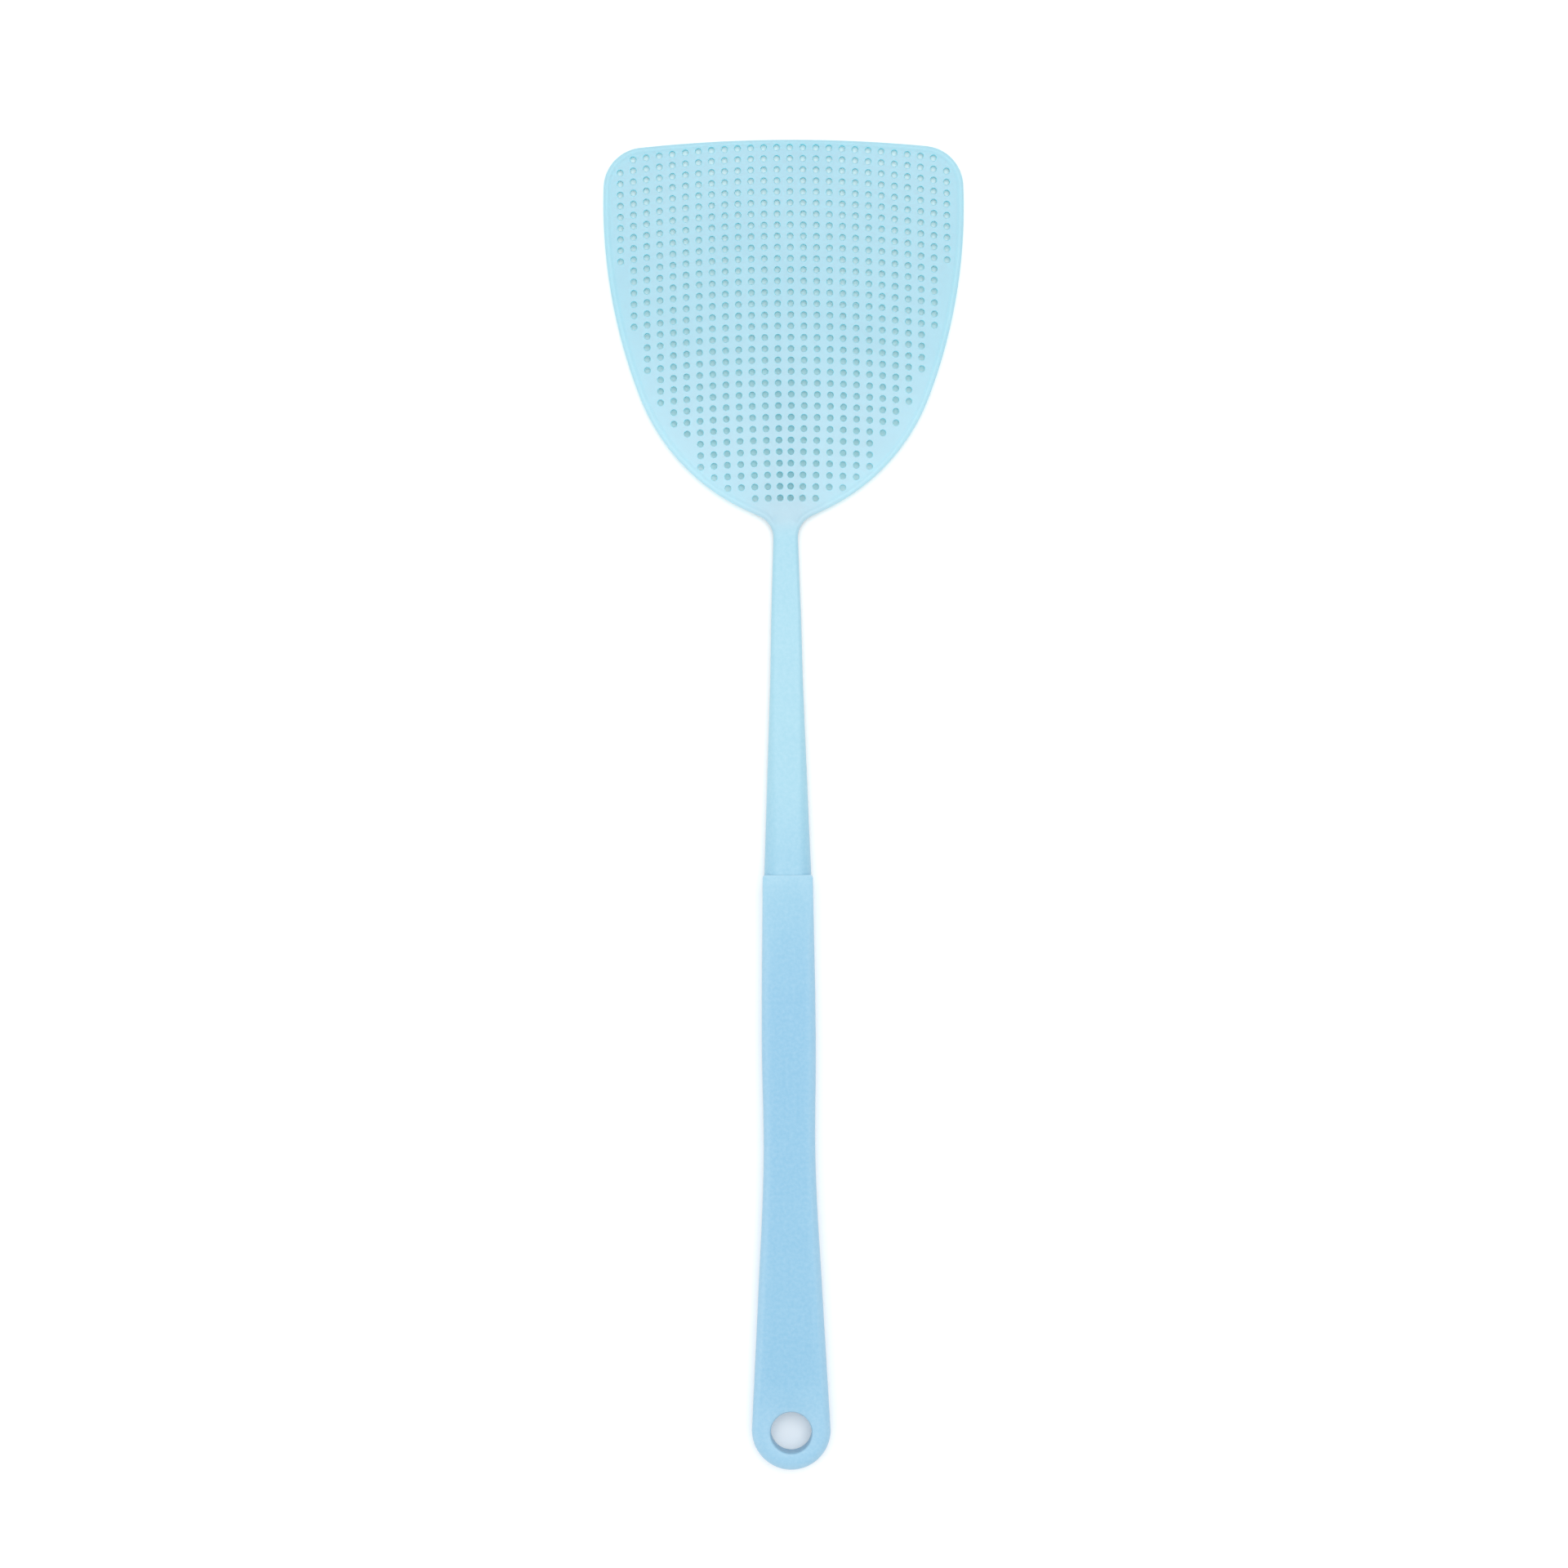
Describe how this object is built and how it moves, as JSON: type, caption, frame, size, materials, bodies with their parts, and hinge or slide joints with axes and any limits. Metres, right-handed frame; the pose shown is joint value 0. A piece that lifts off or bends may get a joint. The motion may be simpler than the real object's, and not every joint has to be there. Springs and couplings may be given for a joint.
{
  "type": "fly swatter",
  "caption": "Plastic fly swatter: wide perforated blade on a springy neck and slim stem, with a waisted grip that ends in a round hanging eye.",
  "frame": {"origin": "middle of the whole swatter's length and width, on the plane that the back of the grip and the top edge of the blade rest on", "axes": "+Y along the swatter from the hanging eye to the top of the blade, +Z out of the front face, +X to the right seen from the front"},
  "size_m": [0.114, 0.42, 0.009],
  "materials": {
    "swatter_plastic": "pale blue satin polypropylene, slightly translucent",
    "grip_plastic": "light blue satin polypropylene"
  },
  "bodies": {
    "handle": {"grip": "grip_plastic", "stem": "swatter_plastic", "lower_neck": "swatter_plastic"},
    "neck": {"upper_neck": "swatter_plastic"},
    "head": {"head": "swatter_plastic"}
  },
  "joints": [
    {"name": "neck_twist", "type": "hinge", "parent": "handle", "child": "neck", "pos_m": [0, 0.048, 0.00347], "axis": [0, 0.9999, -0.0146], "range_deg": [-15, 15], "stiffness_Nm_per_rad": 0.3, "deforming": ["lower_neck"]},
    {"name": "neck_bend", "type": "hinge", "parent": "neck", "child": "head", "pos_m": [0, 0.07075, 0.00314], "axis": [1, 0, 0], "range_deg": [-35, 35], "stiffness_Nm_per_rad": 0.4, "deforming": ["upper_neck"]}
  ]
}
